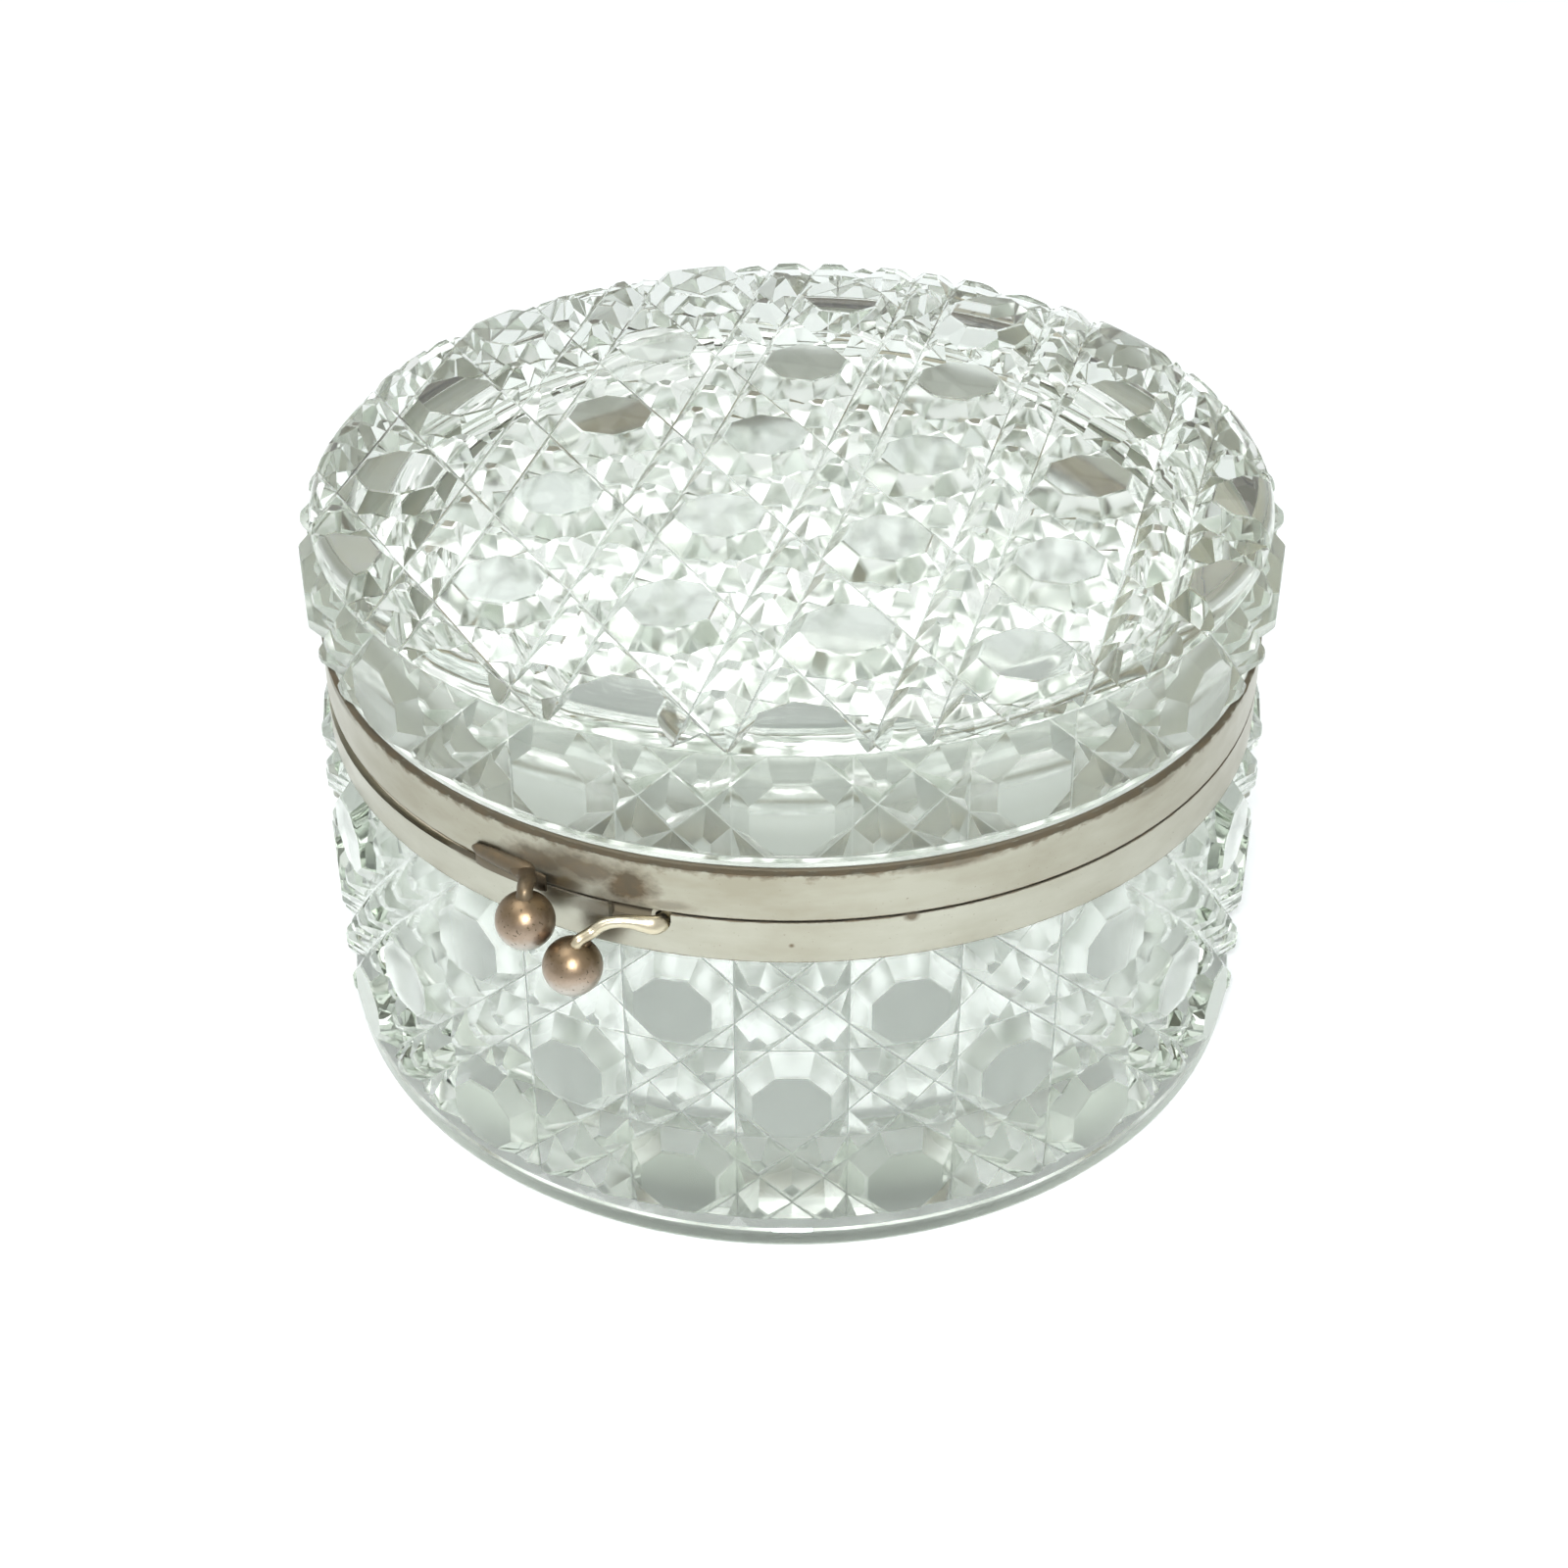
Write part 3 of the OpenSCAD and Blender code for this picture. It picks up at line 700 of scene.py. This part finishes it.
def cementMaterial():
    material, tree = nodesOf("creamCement")
    place = put(tree, "ShaderNodeTexCoord")
    grit = put(tree, "ShaderNodeTexNoise", {"Vector": (place, "Object"), "Scale": 900.0,
                                            "Detail": 5.0})
    stain = put(tree, "ShaderNodeTexNoise", {"Vector": (place, "Object"), "Scale": 70.0,
                                             "Detail": 3.0})
    tone = ramp(tree, (stain, "Fac"), [(0.35, cement["clean"]), (0.7, cement["stained"])])
    along, up = aroundCoords(tree)
    # painted shade of the deep slot behind the latch wire, joined below with the dark top crust
    darkBrown = stainAndShadeAt(tree, along, up, *cement["slotShadeAt"], (stain, "Fac"), 0.3)
    crust = put(tree, "ShaderNodeMapRange", {"Value": up, "From Min": cement["crustFrom"],
                                             "From Max": cement["crustTo"]})
    darkBrown = maths(tree, "MAXIMUM", darkBrown, (crust, "Result"))
    tone = blendColours(tree, darkBrown, (tone, "Color"), cement["darkBrown"])
    bump = put(tree, "ShaderNodeBump", {"Strength": 0.4, "Distance": 0.0003,
                                        "Height": (grit, "Fac")})
    shader = put(tree, "ShaderNodeBsdfPrincipled", {
        "Base Color": tone, "Roughness": 0.85, "Normal": (bump, "Normal")})
    put(tree, "ShaderNodeOutputMaterial", {"Surface": (shader, "BSDF")})
    return material


topLine, seamLine = upperHigh[2], upperLow[2]
# turn from the front in degrees, height, reach along, reach up (mm) and strength; most ovals are
# stains, a few are painted shade and reflection
stainsAndShade = {
    "upper": ((-3.0, 52.2, 5.5, 2.2, 0.85), (2.6, 52.8, 7.5, 2.4, 0.85),
              # the oval at 7.9 degrees and 51.6 mm is painted shadow and reflection of the lid ball
              # on the collar; the others are stains
              (7.9, 51.6, 4.2, 3.6, 1.0), (12.0, 50.0, 4.5, 0.9, 0.5),
              (43.0, 55.0, 7.0, 0.9, 0.8), (70.0, 54.9, 5.0, 0.7, 0.6),
              (-42.0, 54.8, 9.0, 0.9, 0.6), (150.0, 52.5, 7.0, 2.0, 0.5),
              (215.0, 51.0, 9.0, 1.5, 0.45)),
    "lower": ((38.7, 48.6, 1.1, 0.9, 0.9), (25.7, 45.7, 0.45, 0.4, 0.9),
              # the oval at -13 degrees is painted shade on the lower collar's top ledge in the wide
              # gap left of the tab
              (-13.0, 48.3, 4.0, 0.8, 0.7), (3.5, 47.6, 3.5, 1.2, 0.4),
              (-60.0, 46.0, 8.0, 1.3, 0.3), (128.0, 45.5, 9.0, 1.6, 0.4)),
    "tab": ((-9.0, 50.6, 6.0, 1.9, 1.0), (-4.4, 50.4, 4.6, 2.1, 1.0)),
    "hinge": ((180.0, 47.5, 9.0, 1.6, 0.6), (186.0, 51.0, 5.0, 1.2, 0.6)),
    # dark ovals on the rings and lip: partly patina, partly painted shade where they show through
    # the seam gap, most of all in the wide gap left of the tab
    "rings": ((-36.0, 49.6, 30.0, 3.2, 1.0), (20.0, 53.0, 16.0, 2.0, 0.6),
              (95.0, 50.5, 20.0, 3.0, 0.6), (200.0, 54.0, 26.0, 2.4, 0.6)),
}
upperSilver = agedMetal("upperCollarSilver", light=(0.41, 0.40, 0.33), worn=(0.33, 0.31, 0.24),
                        edges=((topLine + 0.5, 1.25), (seamLine, 0.16)), stainsAndShade=stainsAndShade["upper"])
lowerSilver = agedMetal("lowerCollarSilver", edges=((collarHigh[2], 0.2), (collarLow[2], 0.14)),
                        stainsAndShade=stainsAndShade["lower"])
tabSilver = agedMetal("tabSilver", light=(0.15, 0.125, 0.085), worn=(0.095, 0.075, 0.05),
                      stainsAndShade=stainsAndShade["tab"], roughness=(0.26, 0.42))
stemMetal = agedMetal("stemPatina", light=(0.15, 0.112, 0.070), worn=(0.10, 0.072, 0.045),
                      cover=0.6, roughness=(0.22, 0.4))
hingeSilver = agedMetal("hingeSilver", light=(0.42, 0.40, 0.32), worn=(0.31, 0.28, 0.21),
                        stainsAndShade=stainsAndShade["hinge"])
brass = agedMetal("paleBrass", light=(0.62, 0.58, 0.45), worn=(0.50, 0.43, 0.30),
                  roughness=(0.2, 0.34))
# darker than the other brass so the seam gap reads dark: partly its own tone, partly painted shade
ringBrassAndGapShade = agedMetal("ringBrassAndGapShade", light=(0.46, 0.40, 0.27), worn=(0.28, 0.22, 0.13),
                      stainsAndShade=stainsAndShade["rings"])
plaster = cementMaterial()


clasp = {
    "plate": {"start": -11.2, "end": -1.8, "low": 48.15, "high": 50.6,
              "inner": 0.3, "outer": 0.62},     # turns in degrees, the rest in mm
    "strapTurns": (-11.6, -11.0, -9.5, -8.0, -6.5, -5.2, -4.2),
    "strapHeights": (50.25, 50.3, 50.3, 50.3, 50.25, 50.2, 50.15),
    "strapAcross": (0.35, 0.75, 0.95, 1.1, 1.2, 1.25, 1.2),
    "strapThick": (0.25, 0.5, 0.62, 0.72, 0.8, 0.88, 0.95),
    "paddle": 1.08,                 # half the height of the latch's flattened end
}


def at(reach, turn, height):
    t = math.radians(turn)
    return Vector((reach * math.sin(t), -reach * math.cos(t), height))


def smoothPath(points, steps):
    # a curve through the points; each may carry extra numbers along
    out = []
    count = len(points)
    for k in range(count - 1):
        p = [points[max(0, k - 1)], points[k], points[k + 1], points[min(count - 1, k + 2)]]
        for s in range(steps):
            t = s / steps
            out.append([0.5 * (2 * b + (c - a) * t + (2 * a - 5 * b + 4 * c - d) * t * t
                               + (3 * b - a - 3 * c + d) * t ** 3)
                        for a, b, c, d in zip(*p)])
    out.append(list(points[-1]))
    return out


def sweep(mesh, path, outward, sides=20):
    # a closed rod along (x, y, z, half thickness, half height) points, with round ends
    rings = []
    normal = outward.normalized()
    spots = [Vector(p[:3]) for p in path]
    for k, p in enumerate(path):
        ahead = spots[min(k + 1, len(spots) - 1)] - spots[max(k - 1, 0)]
        along = ahead.normalized()
        normal = (normal - along * normal.dot(along)).normalized()
        side = along.cross(normal)
        first, last = k == 0, k == len(path) - 1
        shares = [(1.0, 0.0)]
        if first or last:
            caps = [(math.cos(math.radians(d)), math.sin(math.radians(d))) for d in (75, 50, 25)]
            shares = caps + shares if first else shares + caps[::-1]
        for wide, out in shares:
            push = along * min(p[3], p[4]) * out * (-1 if first else 1)
            rings.append([])
            for q in [2 * math.pi * i / sides for i in range(sides)]:
                off = normal * p[3] * wide * math.cos(q) + side * p[4] * wide * math.sin(q)
                rings[-1].append(mesh.verts.new((spots[k] + push + off) * mm))
    for one, two in zip(rings, rings[1:]):
        for i in range(sides):
            n = (i + 1) % sides
            mesh.faces.new((one[i], one[n], two[n], two[i]))
    mesh.faces.new(rings[0])
    mesh.faces.new(rings[-1])


def curvedPlate(mesh, start, end, low, high, inner, outer, steps=28):
    # a thin plate that follows the collar, with softened edges
    ease = (outer - inner) * 0.45
    section = [(inner, low + ease * 0.4), (inner, high - ease * 0.4), (inner + ease * 0.4, high),
               (outer - ease, high), (outer - ease * 0.3, high - ease * 0.35), (outer, high - ease),
               (outer, low + ease), (outer - ease * 0.3, low + ease * 0.35), (outer - ease, low),
               (inner + ease * 0.4, low)]
    rings = []
    middle = (low + high) / 2
    for k in range(steps + 1):
        t = k / steps
        edge = min(1.0, min(t, 1 - t) * steps / 3)
        squeeze = 1 - 0.16 * (1 - edge) ** 2
        turn = start + (end - start) * t
        rings.append([mesh.verts.new(at(r, turn, middle + (z - middle) * squeeze) * mm)
                      for r, z in section])
    count = len(section)
    for one, two in zip(rings, rings[1:]):
        for i in range(count):
            n = (i + 1) % count
            mesh.faces.new((one[i], one[n], two[n], two[i]))
    mesh.faces.new(rings[0])
    mesh.faces.new(rings[-1])


def claspTab():
    mesh = bmesh.new()
    plate = clasp["plate"]
    curvedPlate(mesh, plate["start"], plate["end"], plate["low"], plate["high"],
                collarRadius + plate["inner"], collarRadius + plate["outer"])
    path = []
    for turn, height, across, thick in zip(clasp["strapTurns"], clasp["strapHeights"],
                                           clasp["strapAcross"], clasp["strapThick"]):
        path.append([*at(collarRadius + 0.35, turn, height), thick, across])
    sweep(mesh, smoothPath(path, 5), at(1, -8, 0))
    return finishMesh(mesh, "clasp_tab", 35, tabSilver)


def claspStem():
    low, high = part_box("lid_ball")
    ball = (low + high) / 2 / mm
    top = high.z / mm
    points = [at(collarRadius + 0.45, -5.4, 50.15), at(collarRadius + 0.9, -4.1, 50.2),
              at(collarRadius + 2.0, -3.1, 50.45), at(collarRadius + 3.2, -2.6, 50.55),
              Vector((ball.x, ball.y + 0.25, top + 0.15)),
              Vector((ball.x, ball.y + 0.1, top - 0.9))]
    sizes = [(0.75, 1.0), (0.85, 1.1), (0.92, 1.0), (0.92, 0.92), (0.9, 0.9), (1.15, 1.15)]
    # each point carries half the wire's thickness and half its height
    path = [[*p, *size] for p, size in zip(points, sizes)]
    mesh = bmesh.new()
    sweep(mesh, smoothPath(path, 7), at(1, 60, 0.6))
    return finishMesh(mesh, "clasp_stem", 40, stemMetal)


def latchWire():
    low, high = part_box("latch_ball")
    ball = (low + high) / 2 / mm
    top = high.z / mm
    points = [Vector((ball.x + 0.55, ball.y + 0.1, top - 0.8)),
              Vector((ball.x + 0.8, ball.y + 0.15, top + 0.3)), at(61.35, 4.9, 46.95),
              at(60.55, 5.9, 47.75), at(59.95, 7.2, 48.1), at(59.45, 8.6, 48.05),
              at(59.1, 9.9, 47.8), at(58.7, 11.1, 47.6), at(57.6, 11.8, 47.55),
              at(56.2, 11.7, 47.55)]
    thin, tall = 0.7, clasp["paddle"]
    sizes = [(0.85, 0.85), (thin, thin), (thin, thin), (thin, thin), (thin, thin), (thin, 0.78),
             (0.62, 0.95), (0.55, tall), (0.5, tall * 0.92), (0.45, 0.8)]
    path = [[*p, *size] for p, size in zip(points, sizes)]
    mesh = bmesh.new()
    sweep(mesh, smoothPath(path, 7), at(1, 4, 0))
    return finishMesh(mesh, "latch_wire", 40, brass)


def ballOf(node, name):
    low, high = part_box(node)
    return ballMetal(name, (low.z + high.z) / 2, (high.z - low.z) / 2)


finishes = {
    "lower_collar": lowerSilver, "upper_collar": upperSilver, "lower_rim_ring": ringBrassAndGapShade,
    "upper_rim_ring": ringBrassAndGapShade, "locating_lip": ringBrassAndGapShade, "lower_hinge_leaf": hingeSilver,
    "upper_hinge_leaf": hingeSilver, "hinge_pin": brass, "lid_tab": tabSilver,
    "tab_stem": brass, "latch_arm": brass, "lid_ball": ballOf("lid_ball", "lidBallBronze"),
    "latch_ball": ballOf("latch_ball", "latchBallBronze"), "latch_anchor": hingeSilver,
    "lower_cement": plaster, "upper_cement": plaster,
}
for piece, body, node, finish in (
        (claspTab(), "lid", "lid_tab", "tab_metal"), (claspStem(), "lid", "tab_stem", "wire_metal"),
        (latchWire(), "latch", "latch_arm", "wire_metal")):
    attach(piece, body)
    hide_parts(node)
for name, material in finishes.items():
    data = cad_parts[name].data
    data.materials.clear()
    data.materials.append(material)
print("metal finished")

stage = {
    "floor": (0.62, 0.64, 0.645), "floorLow": (0.60, 0.62, 0.625),
    "floorGlow": 0.20, "floorLift": 0.07,       # the lift is only seen directly
    "flash": {"wide": 0.05, "high": 0.03, "power": 1.6},
    "backPanel": {"wide": 1.6, "high": 0.5, "power": 2.0, "away": 0.9, "up": 0.85},
    "overhead": {"wide": 0.5, "high": 0.5, "power": 2.5, "place": (-0.25, -0.1, 0.8)},
    "wall": (0.945, 0.985, 1.0),                # the background where it is seen directly
    "roomSide": (0.30, -0.62, 0.72),            # the room is dimmest this way
    "room": ((0.0, (0.90, 0.92, 0.92)), (0.6, (0.82, 0.83, 0.82)), (1.0, (0.68, 0.68, 0.67))),
    "cameraTurn": 25.71, "cameraRise": 34.85, "cameraAway": 0.3428, "aim": 0.035,
    "lens": 61.1, "shiftX": -0.005, "shiftY": -0.04,
}


def pointAt(thing, target):
    thing.rotation_euler = (Vector(target) - thing.location).to_track_quat("-Z", "Y").to_euler()


def panel(name, place, target, width, height, power):
    data = bpy.data.lights.new(name, "AREA")
    data.shape = "RECTANGLE"
    data.size, data.size_y = width, height
    data.energy = power
    lamp = bpy.data.objects.new(name, data)
    lamp.location = place
    lamp.visible_camera = False
    pointAt(lamp, target)
    bpy.context.scene.collection.objects.link(lamp)


mesh = bmesh.new()
bmesh.ops.create_circle(mesh, cap_ends=True, radius=3.0, segments=96)
data = bpy.data.meshes.new("floor")
mesh.to_mesh(data)
mesh.free()
floor = bpy.data.objects.new("floor", data)
bpy.context.scene.collection.objects.link(floor)
floor.location.z = -0.0001
material, tree = nodesOf("paleFloor")
path = put(tree, "ShaderNodeLightPath")
place = put(tree, "ShaderNodeTexCoord")
grain = put(tree, "ShaderNodeTexNoise", {"Vector": (place, "Object"), "Scale": 40.0,
                                         "Detail": 3.0})
paper = ramp(tree, (grain, "Fac"), [(0.3, stage["floorLow"]), (0.7, stage["floor"])])
glow = maths(tree, "MULTIPLY_ADD", (path, "Is Camera Ray"), stage["floorLift"],
             stage["floorGlow"])
matt = put(tree, "ShaderNodeBsdfDiffuse", {"Color": (paper, "Color")})
lit = put(tree, "ShaderNodeEmission", {"Color": (0.97, 1.0, 1.0, 1), "Strength": glow})
both = put(tree, "ShaderNodeAddShader", {0: (matt, "BSDF"), 1: (lit, "Emission")})
put(tree, "ShaderNodeOutputMaterial", {"Surface": (both, "Shader")})
data.materials.append(material)

world = bpy.data.worlds.new("studio")
bpy.context.scene.world = world
world.use_nodes = True
tree = world.node_tree
tree.nodes.clear()
place = put(tree, "ShaderNodeTexCoord")
towardsRoom = put(tree, "ShaderNodeVectorMath", {
    0: (place, "Generated"), 1: Vector(stage["roomSide"]).normalized()}, operation="DOT_PRODUCT")
tone = ramp(tree, (towardsRoom, "Value"), stage["room"])
path = put(tree, "ShaderNodeLightPath")
seen = blendColours(tree, (path, "Is Camera Ray"), (tone, "Color"), stage["wall"])
back = put(tree, "ShaderNodeBackground", {"Color": seen, "Strength": 1.0})
put(tree, "ShaderNodeOutputWorld", {"Surface": (back, "Background")})

a, e = math.radians(stage["cameraTurn"]), math.radians(stage["cameraRise"])
back = Vector((math.sin(a) * math.cos(e), -math.cos(a) * math.cos(e), math.sin(e)))
aim = Vector((0, 0, stage["aim"]))
data = bpy.data.cameras.new("camera")
data.lens = stage["lens"]
data.sensor_width = 36
data.shift_x, data.shift_y = stage["shiftX"], stage["shiftY"]
data.clip_start = 0.01
camera = bpy.data.objects.new("camera", data)
camera.location = aim + back * stage["cameraAway"]
pointAt(camera, aim)
bpy.context.scene.collection.objects.link(camera)
bpy.context.scene.camera = camera

flashSpot = camera.location + Vector((0, 0, 0.03)) + back * 0.02
lamp = stage["flash"]
panel("flash", flashSpot, aim, lamp["wide"], lamp["high"], lamp["power"])
away = Vector((-math.sin(a), math.cos(a), 0))
lamp = stage["backPanel"]
panel("backPanel", aim + away * lamp["away"] + Vector((0, 0, lamp["up"])), aim, lamp["wide"],
      lamp["high"], lamp["power"])
lamp = stage["overhead"]
panel("overhead", lamp["place"], aim, lamp["wide"], lamp["high"], lamp["power"])

scene = bpy.context.scene
scene.view_settings.view_transform = "Standard"
scene.view_settings.look = "None"
scene.cycles.max_bounces = 24
scene.cycles.transmission_bounces = 20
scene.cycles.glossy_bounces = 8
scene.cycles.diffuse_bounces = 3
scene.cycles.caustics_refractive = True
scene.cycles.caustics_reflective = False
scene.cycles.sample_clamp_indirect = 4.0
print("stage set")
